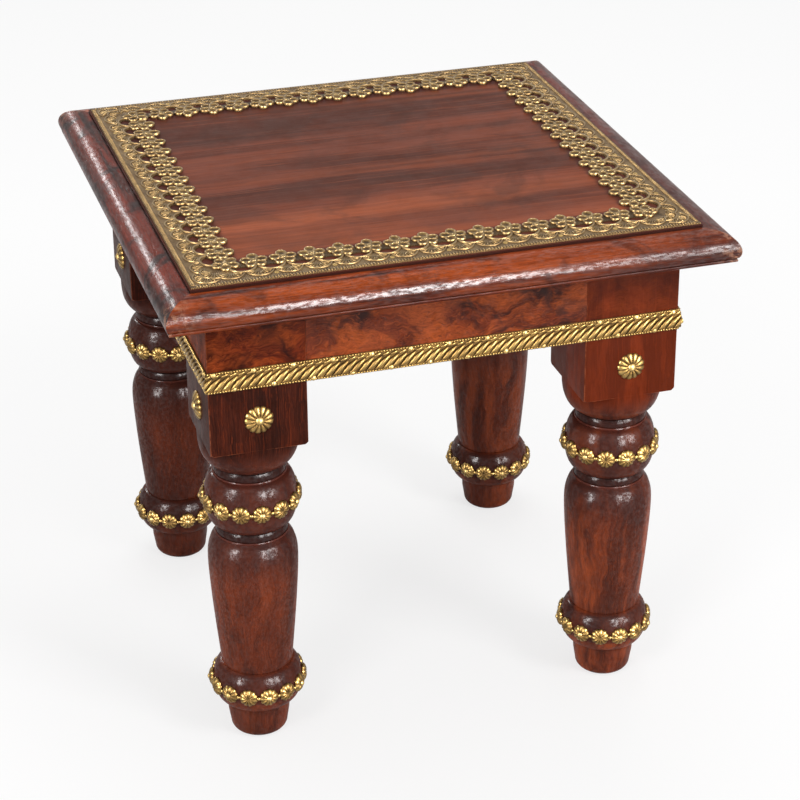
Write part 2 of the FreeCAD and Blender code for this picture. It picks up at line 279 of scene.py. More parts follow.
def colour(*screen):
    """A colour as it looks on a screen, from 0 to 255, turned to the linear values that shaders use."""
    parts = [part / 255 for part in screen]
    linear = [part / 12.92 if part <= 0.04045 else ((part + 0.055) / 1.055) ** 2.4 for part in parts]
    return (*linear, 1.0)


def palette(*screens):
    return [colour(*screen) for screen in screens]


# %% [markdown]
# Wood figure. Noise that is squeezed across the grain and drawn out along it makes streaks; a much finer
# copy makes the pores. Before that, a slow noise pushes the place about, so that the grain wavers: a
# little on a straight board and a lot on a burl. Fineness weakens the small marks where polish has filled
# the grain. The vector comes in with its X along the grain, so one group serves every wooden piece.


# %% The wood figure group
def build_wood_figure():
    tree, given, out = group_with(
        "wood_figure",
        [
            ("Vector", "Vector", None),
            ("Streaks", "Vector", (3.0, 45.0, 45.0)),
            ("Warp", "Float", 0.004),
            ("Patches", "Float", 17.0),
            ("Dark", "Color", (0.05, 0.02, 0.015, 1)),
            ("Middle", "Color", (0.15, 0.05, 0.03, 1)),
            ("Red", "Color", (0.3, 0.08, 0.03, 1)),
            ("Stain", "Color", (0.02, 0.015, 0.015, 1)),
            ("Redness", "Float", 0.6),
            ("Staining", "Float", 0.5),
            ("Fineness", "Float", 1.0),
        ],
        [("Color", "Color"), ("Grain", "Float"), ("Stained", "Float")],
    )
    waver = add(tree, "ShaderNodeTexNoise", Vector=given["Vector"], Scale=26.0, Detail=3.0, Roughness=0.55)
    push = stretched(tree, moved(tree, waver.outputs["Color"], (-0.5, -0.5, -0.5)), given["Warp"])
    bent = moved(tree, given["Vector"], push)
    along = stretched(tree, bent, given["Streaks"])
    detail = ramp(tree, given["Fineness"], 0.0, 1.0, 1.0, 5.0)
    broad = noise(tree, along, 1.0, detail, 0.6, 0.6)
    warm = noise(tree, moved(tree, along, (7.3, 1.9, 4.2)), 0.75, detail, 0.55, 0.9)
    fine = noise(tree, stretched(tree, along, (4.0, 12.0, 12.0)), 1.0, 4.0, 0.7, 0.3)
    hairs = noise(tree, stretched(tree, along, (2.2, 15.0, 15.0)), 1.0, 2.0, 0.5, 0.4)
    pores = noise(tree, stretched(tree, along, (11.0, 22.0, 22.0)), 1.0, 2.0, 0.5)
    stains = noise(tree, stretched(tree, bent, given["Patches"]), 1.0, 4.0, 0.6, 0.8)
    base = mix_colour(tree, ramp(tree, broad, 0.36, 0.62), given["Dark"], given["Middle"])
    redness = times(tree, ramp(tree, warm, 0.42, 0.64), given["Redness"])
    base = mix_colour(tree, redness, base, given["Red"])
    base = mix_colour(tree, given["Fineness"], base, ramp(tree, fine, 0.3, 0.7, 0.6, 1.25), "MULTIPLY")
    lines = times(tree, ramp(tree, hairs, 0.54, 0.7, 0.0, 0.45), given["Fineness"])
    base = mix_colour(tree, lines, base, given["Red"])
    pits = ramp(tree, pores, 0.6, 0.7)
    dots = times(tree, times(tree, pits, 0.6), given["Fineness"])
    base = mix_colour(tree, dots, base, given["Dark"])
    stained = times(tree, ramp(tree, stains, 0.5, 0.66), given["Staining"])
    base = mix_colour(tree, stained, base, given["Stain"])
    feed(tree, out["Color"], base)
    feed(tree, out["Grain"], maths(tree, "SUBTRACT", fine, pits))
    feed(tree, out["Stained"], stained)
    return tree


wood_figure = build_wood_figure()
print("group", wood_figure.name, len(wood_figure.nodes), "nodes")

# %% [markdown]
# Lacquered wood. The lacquer is the gloss: a low roughness that worn patches make duller. Waves in the
# hand-rubbed surface break up the reflections, so a coarse noise joins the fine grain in the bump. The
# mouldings and legs have a coat of polish over it that is worn through in specks. Each wood then gets its
# own colours, and some get wear, darker bands or painted shade at a place that the table's own sizes give.

# %% Helpers for lacquered wood
grain_turn = {"X": (0, 0, 0), "Y": (0, 0, math.pi / 2), "Z": (0, math.pi / 2, 0)}


def new_finish(name):
    """A new material, its tree, its shader and the place on the object that its patterns read."""
    material = bpy.data.materials.new(name)
    material.use_nodes = True
    tree = material.node_tree
    return material, tree, tree.nodes["Principled BSDF"], add(tree, "ShaderNodeTexCoord").outputs["Object"]


def figured(tree, place, grain, tones, streaks, warp, patches, redness, staining, fineness=1.0):
    """The wood figure with its grain along X, Y or Z; the tones are dark, middle, red and stain."""
    turned = add(tree, "ShaderNodeMapping", Vector=place, Rotation=grain_turn[grain])
    dark, middle, red, stain = tones
    return add(tree, "ShaderNodeGroup", node_tree=wood_figure, Vector=turned.outputs["Vector"],
               Dark=dark, Middle=middle, Red=red, Stain=stain, Streaks=streaks, Warp=warp, Patches=patches,
               Redness=redness, Staining=staining, Fineness=fineness)


def raised(tree, shader, height, strength, distance):
    bump = add(tree, "ShaderNodeBump", Strength=strength, Distance=distance, Height=height)
    feed(tree, shader.inputs["Normal"], bump.outputs["Normal"])


def lacquered(tree, shader, place, figure, gloss, waves, wave_scale, shine):
    """The lacquer over a figure: its lowest roughness, its unevenness, and how strongly it shines."""
    rub = ramp(tree, noise(tree, place, 60.0, 5.0, 0.65), 0.3, 0.7, gloss, gloss + 0.16)
    dull = times(tree, figure.outputs["Stained"], 0.1)
    feed(tree, shader.inputs["Roughness"], maths(tree, "ADD", rub, dull))
    dents = times(tree, noise(tree, place, wave_scale, 3.0, 0.6), waves)
    height = maths(tree, "ADD", dents, times(tree, figure.outputs["Grain"], 0.12))
    raised(tree, shader, height, 0.5, 0.6 * mm)
    feed(tree, shader.inputs["Specular IOR Level"], shine)


def polished(tree, shader, place, weight, speck_shape, where):
    """A coat of polish, worn through in specks; where is a mask for the part of the piece that has it."""
    specks = noise(tree, stretched(tree, place, speck_shape), 1.0, 4.0, 0.7)
    coat = ramp(tree, specks, 0.42, 0.6, 0.1 * weight, weight)
    feed(tree, shader.inputs["Coat Weight"], times(tree, coat, where))
    feed(tree, shader.inputs["Coat Roughness"], 0.2)


# %% The field, with painted shade down its edge and under the brass border
def top_finish():
    material, tree, shader, place = new_finish("top_wood")
    tones = palette((82, 43, 32), (116, 61, 44), (160, 84, 53), (68, 46, 40))
    figure = figured(tree, place, "X", tones, streaks=(2.0, 22.0, 22.0), warp=0.006, patches=15.0,
                     redness=0.7, staining=0.4, fineness=0.45)
    parts = axes(tree, place)
    reach = maths(tree, "MAXIMUM", *from_middle(tree, parts))
    # painted shade on the field under the brass border, where it shows through the openings
    shade_under_brass = ramp(tree, reach, panel_half - 41 * mm, panel_half - 36 * mm, 0.0, 0.75)
    tone = mix_colour(tree, shade_under_brass, figure.outputs["Color"], colour(58, 30, 28))
    # painted shade down the boards' side faces, at the step down to the moulding
    edge = ramp(tree, parts["Z"], panel_top - 1.2 * mm, panel_top - 0.2 * mm, 0.8, 0.0)
    tone = mix_colour(tree, edge, tone, colour(58, 27, 21))
    feed(tree, shader.inputs["Base Color"], tone)
    lacquered(tree, shader, place, figure, gloss=0.3, waves=0.1, wave_scale=130.0, shine=0.03)
    return material


top_wood = top_finish()

# %% The moulding: darker by the field, painted shade lower down, browned to the right, worn at the corners
lip_top = top_underside + 2.6 * mm


def moulding_finish(name, grain, tones, staining, weight, speck_shape):
    material, tree, shader, place = new_finish(name)
    figure = figured(tree, place, grain, tones, streaks=(7.0, 110.0, 110.0), warp=0.003, patches=30.0,
                     redness=0.85, staining=staining)
    parts = axes(tree, place)
    apart = from_middle(tree, parts)
    reach = maths(tree, "MAXIMUM", *apart)
    # darker along the edge against the field
    dark_by_field = ramp(tree, reach, panel_half + 0.2 * mm, panel_half + 1.4 * mm, 0.85, 0.0)
    tone = mix_colour(tree, dark_by_field, figure.outputs["Color"], colour(40, 18, 15))
    shaded = ramp(tree, parts["Z"], top_underside + 3 * mm, top_underside + 9 * mm, 0.42, 0.0)
    tone = mix_colour(tree, shaded, tone, colour(56, 22, 20))
    browned = ramp(tree, parts["X"], 0.1 * moulding_half, 0.9 * moulding_half, 0.0, 0.45)
    tone = mix_colour(tree, browned, tone, colour(82, 42, 35))
    corner = ramp(tree, maths(tree, "MINIMUM", *apart), moulding_half - 22 * mm, moulding_half - 3 * mm)
    broken = ramp(tree, noise(tree, place, 170.0, 4.0, 0.7), 0.48, 0.62, 0.0, 0.5)
    tone = mix_colour(tree, times(tree, corner, broken), tone, colour(198, 142, 112))
    feed(tree, shader.inputs["Base Color"], tone)
    lacquered(tree, shader, place, figure, gloss=0.25, waves=0.6, wave_scale=190.0, shine=0.04)
    off_the_lip = ramp(tree, parts["Z"], lip_top, top_underside + 5 * mm, 0.1, 1.0)
    polished(tree, shader, place, weight, speck_shape, off_the_lip)
    return material


moulding_wood_x = moulding_finish(
    "moulding_wood_x", "X", palette((62, 21, 10), (114, 43, 19), (164, 73, 30), (44, 18, 13)),
    staining=0.6, weight=0.74, speck_shape=(170.0, 560.0, 560.0))
# the side mouldings take darker tones than the front and back: painted shade
moulding_wood_y_shaded = moulding_finish(
    "moulding_wood_y_shaded", "Y", palette((44, 21, 16), (68, 29, 19), (122, 41, 20), (44, 29, 27)),
    staining=0.95, weight=0.27, speck_shape=(560.0, 170.0, 560.0))

# %% The apron, veneered with burl, and the plain blocks inside
burl = {"streaks": (26.0, 62.0, 62.0), "warp": 0.034, "patches": 26.0}
apron_tones = palette((58, 22, 14), (124, 51, 24), (180, 84, 37), (42, 18, 13))
block_tones = palette((110, 80, 56), (150, 112, 80), (160, 110, 74), (80, 60, 46))


def plain_wood(name, grain, tones, gloss, waves, shine, **pattern):
    """Wood with no more than its figure and its lacquer."""
    material, tree, shader, place = new_finish(name)
    figure = figured(tree, place, grain, tones, **pattern)
    feed(tree, shader.inputs["Base Color"], figure.outputs["Color"])
    lacquered(tree, shader, place, figure, gloss, waves, wave_scale=130.0, shine=shine)
    return material


def apron_finish(name, grain):
    return plain_wood(name, grain, apron_tones, gloss=0.2, waves=0.15, shine=0.1,
                      redness=0.8, staining=0.75, **burl)


apron_wood_x = apron_finish("apron_wood_x", "X")
apron_wood_y = apron_finish("apron_wood_y", "Y")
block_wood = plain_wood("block_wood", "X", block_tones, gloss=0.6, waves=0.1, shine=0.2,
                        streaks=(8.0, 90.0, 90.0), warp=0.003, patches=17.0, redness=0.3, staining=0.3)
print("wood finishes made")

# %% [markdown]
# Aged brass. Pressed brass is bright where hands and polish reach and brown in the hollows. Each ornament
# carries a vertex attribute called relief, 0 in its hollows and 1 on its ridges, and the patina group
# turns that into colour and roughness. The flat ground of the border has no relief of its own, so a wave
# pattern gives it the strokes that were punched into it.


# %% The brass patina group
def build_brass_patina():
    tree, given, out = group_with(
        "brass_patina",
        [
            ("Vector", "Vector", None),
            ("Relief", "Float", 0.5),
            ("Bright", "Color", (0.6, 0.4, 0.15, 1)),
            ("Worn", "Color", (0.4, 0.26, 0.1, 1)),
            ("Hollow", "Color", (0.06, 0.04, 0.02, 1)),
        ],
        [("Color", "Color"), ("Roughness", "Float"), ("Grime", "Float")],
    )
    cloud = noise(tree, given["Vector"], 90.0, 5.0, 0.65)
    speck = noise(tree, given["Vector"], 700.0, 3.0, 0.6)
    unsure = maths(tree, "ADD", given["Relief"], ramp(tree, cloud, 0.3, 0.7, -0.22, 0.22))
    tone = mix_colour(tree, ramp(tree, unsure, 0.0, 0.55), given["Hollow"], given["Worn"])
    tone = mix_colour(tree, ramp(tree, unsure, 0.45, 1.05), tone, given["Bright"])
    tone = mix_colour(tree, 1.0, tone, ramp(tree, speck, 0.3, 0.7, 0.8, 1.1), "MULTIPLY")
    feed(tree, out["Color"], tone)
    feed(tree, out["Roughness"], ramp(tree, unsure, 0.1, 1.0, 0.54, 0.33))
    feed(tree, out["Grime"], speck)
    return tree


brass_patina = build_brass_patina()
print("group", brass_patina.name, len(brass_patina.nodes), "nodes")

# %% Brass materials
gilt_tones = palette((166, 137, 82), (120, 93, 50), (70, 52, 27))
nail_tones = palette((194, 166, 110), (176, 147, 92), (98, 75, 42))
dull_tones = palette((150, 127, 88), (132, 104, 65), (72, 56, 38))
ground_relief = 0.42


def attribute(tree, label):
    return add(tree, "ShaderNodeAttribute", attribute_name=label).outputs["Fac"]


def punched(tree, place, direction):
    """The strokes on the border's ground, and its relief, lower under edge ribs and, as patina and painted
    shade, under flowers.
    """
    waves = add(tree, "ShaderNodeTexWave", bands_direction=direction, Vector=place, Scale=280.0,
                Distortion=0.4)
    strokes = waves.outputs["Fac"]
    carved = ramp(tree, strokes, 0.1, 0.9, ground_relief - 0.25, ground_relief + 0.3)
    reach = maths(tree, "MAXIMUM", *from_middle(tree, axes(tree, place)))
    # patina and painted shade: the ground round the openings darker, so that they look wider
    patina_and_shade_under_flowers = ramp(tree, reach, border_half - 20 * mm, border_half - 17 * mm, 0.5, 0.0)
    under_ribs = ramp(tree, reach, border_half - 3.9 * mm, border_half - 3.4 * mm, 0.0, 0.22)
    return strokes, maths(tree, "SUBTRACT", carved, maths(tree, "ADD", patina_and_shade_under_flowers, under_ribs))


def aged_brass(name, tones, relief=None, direction=None):
    """Brass whose relief is read from the piece, is one value, or comes from strokes in a direction."""
    material, tree, shader, place = new_finish(name)
    bright, worn, hollow = tones
    patina = add(tree, "ShaderNodeGroup", node_tree=brass_patina, Vector=place, Bright=bright, Worn=worn,
                 Hollow=hollow)
    height = times(tree, patina.outputs["Grime"], 0.2)
    if direction:
        strokes, relief = punched(tree, place, direction)
        height = maths(tree, "ADD", height, strokes)
    feed(tree, patina.inputs["Relief"], attribute(tree, "relief") if relief is None else relief)
    feed(tree, shader.inputs["Base Color"], patina.outputs["Color"])
    feed(tree, shader.inputs["Roughness"], patina.outputs["Roughness"])
    feed(tree, shader.inputs["Metallic"], 0.92)
    raised(tree, shader, height, 0.4, 0.3 * mm)
    return material


pressed_brass = aged_brass("pressed_brass", gilt_tones)
nail_brass = aged_brass("nail_brass", nail_tones, relief=0.5)
border_brass = aged_brass("border_brass", dull_tones)
ground_brass_x = aged_brass("ground_brass_x", dull_tones, direction="X")
ground_brass_y = aged_brass("ground_brass_y", dull_tones, direction="Y")
print("brass finishes made")


# %% Marks on the vertices of a piece
def share(value, low, high):
    """How far a value lies between low and high, from 0 to 1."""
    return min(1.0, max(0.0, (value - low) / (high - low)))


def marked(piece, label, measure):
    """Store a number on each vertex, worked out from its place, for a material to read."""
    stored = piece.data.attributes.get(label) or piece.data.attributes.new(label, "FLOAT", "POINT")
    for vertex, mark in zip(piece.data.vertices, stored.data):
        mark.value = measure(vertex.co)
    return piece


def with_relief(piece, measure):
    """Mark how bright the metal is, from 0 in a hollow to 1 on a ridge."""
    return marked(piece, "relief", measure)


# %% Plain steel for the hidden screws
def plain_steel():
    material, tree, shader, place = new_finish("screw_steel")
    rub = noise(tree, place, 300.0, 4.0, 0.6)
    feed(tree, shader.inputs["Roughness"], ramp(tree, rub, 0.3, 0.7, 0.35, 0.6))
    tone = mix_colour(tree, rub, colour(120, 118, 114), colour(168, 166, 162))
    feed(tree, shader.inputs["Base Color"], tone)
    feed(tree, shader.inputs["Metallic"], 1.0)
    return material


screw_steel = plain_steel()

# %% [markdown]
# The CAD pieces whose shape is already right keep their mesh and only get a finish: the rails, the hidden
# blocks and screws, the nails, and the flat ground of the brass border.

# %% Finish the CAD pieces that stay
for side in sides:
    dressed(nodes["apron_rail_" + side], apron_wood_x if side in lengthways else apron_wood_y)
    dressed(nodes["border_strip_" + side], ground_brass_x if side in lengthways else ground_brass_y)
    dressed(nodes["top_block_" + side], block_wood)
for name in ("border_nails", "apron_band_nails", "rosette_nails", "chain_nails"):
    dressed(nodes[name], nail_brass)
dressed(nodes["top_block_screws"], screw_steel)
print("CAD pieces finished")

# %% [markdown]
# ## Legs
# A leg is one length of wood: a square block, left flat for the rails, over a turned stem. On a lathe the
# outline is cut while the wood spins, so the same is done here: the outline is traced point by point and
# spun round the leg's axis. The block is a bevelled cube. The leg is made once, at the origin, and copied
# to the four corners.

# %% Sizes of the turning
block_bottom = 230.4 * mm
cup_bottom = 209.8 * mm
bead_top = 201.2 * mm
bead_bottom = 164.6 * mm
vase_top = 156.0 * mm
ring_top = 55.6 * mm
ring_bottom = 25.6 * mm
foot_curve = 15.0 * mm
cup_radius = post_side / 2 + 1.5 * mm
neck_radius = 22.0 * mm
waist_radius = neck_radius - 0.8 * mm
throat_radius = neck_radius + 1.4 * mm
roll_swell = 2.2 * mm
roll_lift = 0.7 * mm
roll_gap = 0.2 * mm
waist_height = 0.7 * mm
step = 1.6 * mm
step_radius = 24.4 * mm
# how far each point of a fillet stands out from the step, in millimetres, and its share of the height
fillet_points = ((0.1, 1.0), (0.5, 0.6), (0.2, 0.2))
bead_radius = 31.2 * mm
vase_radius = 30.4 * mm
ring_radius = 30.8 * mm
ring_neck = 23.4 * mm
ring_gap = 0.2 * mm
foot_gap = 0.6 * mm
foot_swell = 0.5 * mm
foot_radius = 19.6 * mm
foot_edge = 6.0 * mm
# each point of the vase as a share of its radius and a share of the way down
vase_shares = ((0.80, 0.0), (0.93, 0.055), (1.0, 0.19), (0.935, 0.55), (0.80, 1.0))


# %% The outline of the turning
def quarter_turn(count):
    """The sine and cosine of each step on the way from 0 to 90 degrees."""
    angles = [math.pi / 2 * i / count for i in range(count + 1)]
    return [(math.sin(angle), math.cos(angle)) for angle in angles]


def oval(inner, outer, top, bottom, count=14):
    """Half an ellipse from its top to its bottom, swelling outwards."""
    middle = (top + bottom) / 2
    places = []
    for i in range(count + 1):
        angle = math.pi / 2 - math.pi * i / count
        places.append((inner + (outer - inner) * math.cos(angle),
                       middle + (top - bottom) / 2 * math.sin(angle)))
    return places


def smooth_curve(places, count):
    """A soft curve that passes through a few places."""
    ends = [places[0]] + places + [places[-1]]
    curve = []
    for i in range(1, len(ends) - 2):
        for j in range(count):
            t = j / count
            point = []
            for axis in (0, 1):
                a, b, c, d = (ends[i + k][axis] for k in (-1, 0, 1, 2))
                point.append(0.5 * (2 * b + (c - a) * t + (2 * a - 5 * b + 4 * c - d) * t * t
                                    + (3 * b - a - 3 * c + d) * t ** 3))
            curve.append(tuple(point))
    return curve + [places[-1]]


def neck(top, bottom):
    """A narrow neck that swells downwards to a soft roll, with a thin fillet at its foot."""
    roll_top = top - waist_height - roll_gap
    roll_bottom = bottom + step + roll_lift
    places = [(waist_radius, top), (waist_radius, top - waist_height)]
    for sine, cosine in quarter_turn(8):
        places.append((neck_radius + roll_swell * sine, roll_bottom + (roll_top - roll_bottom) * cosine))
    places.append((throat_radius, bottom + step + roll_gap))
    return places + [(step_radius + out * mm, bottom + portion * step) for out, portion in fillet_points]


def leg_outline():
    outline = [(0.0, block_bottom + step), (cup_radius, block_bottom + step)]
    for sine, cosine in quarter_turn(10):
        outline.append((throat_radius + (cup_radius - throat_radius) * cosine,
                        block_bottom - (block_bottom - cup_bottom) * sine))
    outline += neck(cup_bottom, bead_top) + oval(step_radius, bead_radius, bead_top, bead_bottom)
    vase_height = vase_top - ring_top
    vase = [(portion * vase_radius, vase_top - drop * vase_height) for portion, drop in vase_shares]
    outline += neck(bead_bottom, vase_top) + smooth_curve(vase, 8)
    outline += oval(ring_neck, ring_radius, ring_top - ring_gap, ring_bottom)
    foot_top = (ring_neck + foot_radius) / 2
    foot_middle = (foot_top + foot_radius) / 2 + foot_swell
    outline += [(foot_top, ring_bottom - foot_gap), (foot_middle, foot_curve)]
    for sine, cosine in quarter_turn(6):
        outline.append((foot_radius - foot_edge * (1 - cosine), foot_edge * (1 - sine)))
    return [(radius, 0.0, height) for radius, height in outline + [(0.0, 0.0)]]


outline = leg_outline()
print("leg outline:", len(outline), "points")

# %% [markdown]
# The wood of a leg changes with its height: plain grain on the turned stem, streaks on the block, and the
# apron's burl on the post. The turned necks are darker, the fillets lighter, and the wear on the block's
# arrises is an attribute that the mesh carries. One material serves all four legs, so what differs from leg
# to leg follows the place on the table.


# %% The figures of a leg
def leg_figures(tree, place, z, rightward):
    """The stem's figure, and the colour of the stem, block and post together."""
    def to_right(left, right):
        """A value that changes from the left legs to the right ones."""
        return ramp(tree, rightward, 0.0, 1.0, left, right)

    stem = figured(tree, place, "Z", palette((82, 38, 26), (110, 49, 30), (154, 71, 38), (60, 32, 26)),
                   streaks=(10.0, 72.0, 72.0), warp=0.014, patches=21.0,
                   redness=to_right(0.35, 0.95), staining=0.35, fineness=0.6)
    block = figured(tree, place, "Z", palette((46, 20, 13), (64, 27, 17), (124, 49, 23), (40, 20, 15)),
                    streaks=(9.0, 75.0, 75.0), warp=0.007, patches=24.0,
                    redness=to_right(0.1, 1.0), staining=to_right(0.7, 0.1))
    post = figured(tree, place, "X", palette((50, 17, 9), (110, 40, 15), (170, 74, 28), (36, 13, 9)),
                   redness=0.7, staining=0.9, **burl)
    on_block = ramp(tree, z, cup_bottom + 2 * mm, block_bottom)
    even = times(tree, rightward, 0.5)
    plank = mix_colour(tree, even, block.outputs["Color"], colour(124, 46, 17))
    tone = mix_colour(tree, on_block, stem.outputs["Color"], plank)
    on_post = times(tree, ramp(tree, z, band_low + 4 * mm, band_low + 6 * mm), to_right(1.0, 0.25))
    return stem, mix_colour(tree, on_post, tone, post.outputs["Color"])


# %% The darker and lighter bands of a leg, and its wear
def height_band(tree, z, low, high, soft):
    """A mask that is 1 between two heights, with soft ends."""
    rise = ramp(tree, z, low - soft, low + soft)
    fall = ramp(tree, z, high - soft, high + soft, 1.0, 0.0)
    return times(tree, rise, fall)


def toned_by_height(tree, z, tone):
    """Darker on the upper stem, the ring and in the necks, with the fillets lighter."""
    upper = times(tree, ramp(tree, z, vase_top - 40 * mm, vase_top - 6 * mm, 0.0, 0.6),
                  ramp(tree, z, cup_bottom + 2 * mm, block_bottom + mm, 1.0, 0.0))
    lower = times(tree, height_band(tree, z, ring_bottom + 9 * mm, ring_top - mm, mm), 0.62)
    tone = mix_colour(tree, maths(tree, "MAXIMUM", upper, lower), tone, colour(56, 32, 30))
    hollows = maths(tree, "MAXIMUM", height_band(tree, z, bead_top + step, cup_bottom, 0.6 * mm),
                    height_band(tree, z, vase_top + step, bead_bottom, 0.6 * mm))
    tone = mix_colour(tree, times(tree, hollows, 0.6), tone, colour(36, 22, 21))
    fillets = maths(tree, "MAXIMUM", height_band(tree, z, bead_top, bead_top + step, 0.3 * mm),
                    height_band(tree, z, vase_top, vase_top + step, 0.3 * mm))
    return mix_colour(tree, times(tree, fillets, 0.35), tone, colour(128, 64, 50))


def leg_finish():
    material, tree, shader, place = new_finish("leg_wood")
    parts = axes(tree, place)
    z = parts["Z"]
    rightward = ramp(tree, parts["X"], -leg_centre, leg_centre)
    backward = ramp(tree, parts["Y"], -leg_centre / 2, leg_centre / 2)
    stem, tone = leg_figures(tree, place, z, rightward)
    tone = toned_by_height(tree, z, tone)
    broken = ramp(tree, noise(tree, place, 190.0, 4.0, 0.7), 0.44, 0.6, 0.2, 0.7)
    tone = mix_colour(tree, times(tree, attribute(tree, "wear"), broken), tone, colour(164, 88, 56))
    tone = mix_colour(tree, times(tree, backward, 0.45), tone, colour(44, 18, 13))
    feed(tree, shader.inputs["Base Color"], tone)
    lacquered(tree, shader, place, stem, gloss=0.35, waves=0.4, wave_scale=250.0, shine=0.02)
    off_the_block = ramp(tree, z, cup_bottom, block_bottom, 1.0, 0.12)
    polished(tree, shader, place, weight=0.36, speck_shape=(430.0, 430.0, 430.0), where=off_the_block)
    return material


leg_wood = leg_finish()


# %% Helpers to trace, cut and box
def extrude(way):
    bpy.ops.mesh.extrude_region_move(TRANSFORM_OT_translate={"value": way})


def trace(points):
    """Draw a chain of edges by pushing one vertex from point to point, and stay in edit mode."""
    nothing_selected()
    bpy.ops.mesh.primitive_plane_add(size=mm)
    edit_all()
    bpy.ops.mesh.merge(type="CENTER")
    bpy.ops.transform.translate(value=points[0])
    for start, end in zip(points, points[1:]):
        extrude(Vector(end) - Vector(start))
    return bpy.context.object


def cut(place, outwards):
    """Take off all of the active piece that lies past a plane, close the cut and stay in edit mode."""
    edit_all()
    bpy.ops.mesh.bisect(plane_co=place, plane_no=outwards, clear_outer=True, use_fill=True)


def sized(size, lean=0):
    """Bring the primitive just added to its size, leaned over in the plane of the front."""
    piece = bpy.context.object
    piece.scale = size
    piece.rotation_euler = (0, math.radians(lean), 0)
    return at_origin(piece)


def box_at(place, size):
    nothing_selected()
    bpy.ops.mesh.primitive_cube_add(size=1, location=place)
    return sized(size)


def bevel_edges(offset, segments):
    edit_all()
    bpy.ops.mesh.bevel(offset=offset, segments=segments, affect="EDGES")


# %% Turn the stem and set the block on it
arris = 0.7 * mm
worn_corner = 2.6 * mm
inside_face = 0.05 * mm
arris_inset = 0.02 * mm
arris_end = 0.1 * mm


def make_stem():
    stem = trace(outline)
    edit_all()
    bpy.ops.mesh.spin(steps=72, angle=2 * math.pi, center=(0, 0, 0), axis=(0, 0, 1))
    merge_doubles()
    for x, y in ((1, 0), (-1, 0), (0, 1), (0, -1)):
        cut(Vector((x, y, 0)) * (post_side / 2 - inside_face), (x, y, 0))
    return finished(stem, 40)


def make_block():
    height = top_underside - block_bottom
    block = box_at((0, 0, block_bottom + height / 2), (post_side, post_side, height))
    bevel_edges(arris, 3)
    for x in (-1, 1):
        for y in (-1, 1):
            cut((x * post_side / 2, y * post_side / 2, block_bottom + worn_corner), (x, y, -1))
    finished(block, 20)

    def on_arris(co):
        """The middle of a rounded edge lies inside both of the faces that meet there."""
        sideways = max(abs(co.x), abs(co.y)) < post_side / 2 - arris_inset
        upright = block_bottom + arris_end < co.z < top_underside - arris_end
        return 1.0 if sideways and upright else 0.0

    return marked(block, "wear", on_arris)


leg = joined([make_stem(), make_block()])
for name, (x, y) in corners.items():
    placed(copied(leg, spot(x, y, 0)), "turned_leg_" + name, "leg_wood", leg_wood, "leg_" + name)
discard(leg)

# %% [markdown]
# ## Top
# The field is three boards glued edge to edge. Each is a cube with its edges just broken by a small
# bevel, so that the step down to the moulding catches the light.

# %% Boards of the field
broken_edge = 0.08 * mm
for name in ("front", "middle", "back"):
    low, high = (Vector(corner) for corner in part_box("top_board_" + name))
    board = box_at((low + high) / 2, high - low)
    bevel_edges(broken_edge, 2)
    finished(board, 20)
    placed(board, "field_board_" + name, "top_wood", top_wood, "top_board_" + name)

# %% [markdown]
# The moulding is planed as one long stick and cut to four lengths that meet in mitres. Here too its
# section is traced and pushed along its side, and a bisect at 45 degrees cuts each mitre, so the corners
# always meet.

# %% Edge mouldings
shoulder_width = 3.5 * mm
nose_height = 12.0 * mm
toe = 3.0 * mm
edge_round = 0.3 * mm
spare_length = 5.0 * mm
# how far in from the nose and how far down each point of the lip lies, in millimetres
lip_points = ((2.2, 0.3), (1.8, 1.0), (1.9, 1.8), (2.6, 2.4))


def moulding_outline():
    """The section: level shoulder, long rounded nose, short under-curve, small lip and flat back."""
    inner = -panel_half
    outer = -moulding_half
    nose = moulding_top - nose_height
    shoulder = inner - shoulder_width
    places = [(inner, moulding_top - edge_round), (inner - edge_round, moulding_top)]
    places.append((shoulder, moulding_top))
    for sine, cosine in quarter_turn(10)[1:]:
        places.append((shoulder + (outer - shoulder) * sine, nose + nose_height * cosine))
    for sine, cosine in quarter_turn(5)[1:]:
        places.append((outer + toe * (1 - cosine), nose - (nose - lip_top) * sine))
    for inset, drop in lip_points:
        places.append((outer + inset * mm, lip_top - drop * mm))
    places += [(outer + toe + mm, top_underside), (inner, top_underside)]
    return [(outer - spare_length, y, z) for y, z in places]


def make_moulding():
    section = moulding_outline()
    stick = trace(section + [section[0]])
    merge_doubles()
    edit_all()
    extrude((2 * (moulding_half + spare_length), 0, 0))
    for way in (-1, 1):
        cut((0, 0, 0), (way, 1, 0))
    return finished(stick, 35)


moulding = make_moulding()
for side, angle in sides.items():
    wood = moulding_wood_x if side in lengthways else moulding_wood_y_shaded
    stick = copied(moulding, turn(angle))
    placed(stick, "nosed_moulding_" + side, "moulding_wood", wood, "edge_moulding_" + side)
discard(moulding)

# %% [markdown]
# ## Brass border on the top
# The border is pressed sheet. Its flat pierced ground is the CAD strip; what stands up from it is
# modelled here: flowers of cupped petals, crescent rims round the openings, a row of scallop rims, and a
# milled edge. One of each is modelled, then copied along a side, and the whole side is copied to the
# other three.

# %% Sizes of the border
sheet_rise = 0.8 * mm
flower_line = 28.0 * mm
crescent_line = 22.6 * mm
scallop_line = 14.6 * mm
rib_line = 1.9 * mm
rib_pitch = 2.0 * mm
arc_radius = 8.9 * mm
crescent_rim = 1.0 * mm
scallop_rim = 0.75 * mm
flower_count = 16
border_run = 2 * (border_half - flower_line)
pitch = border_run / (flower_count - 1)
print("flower pitch", round(pitch / mm, 2), "mm")

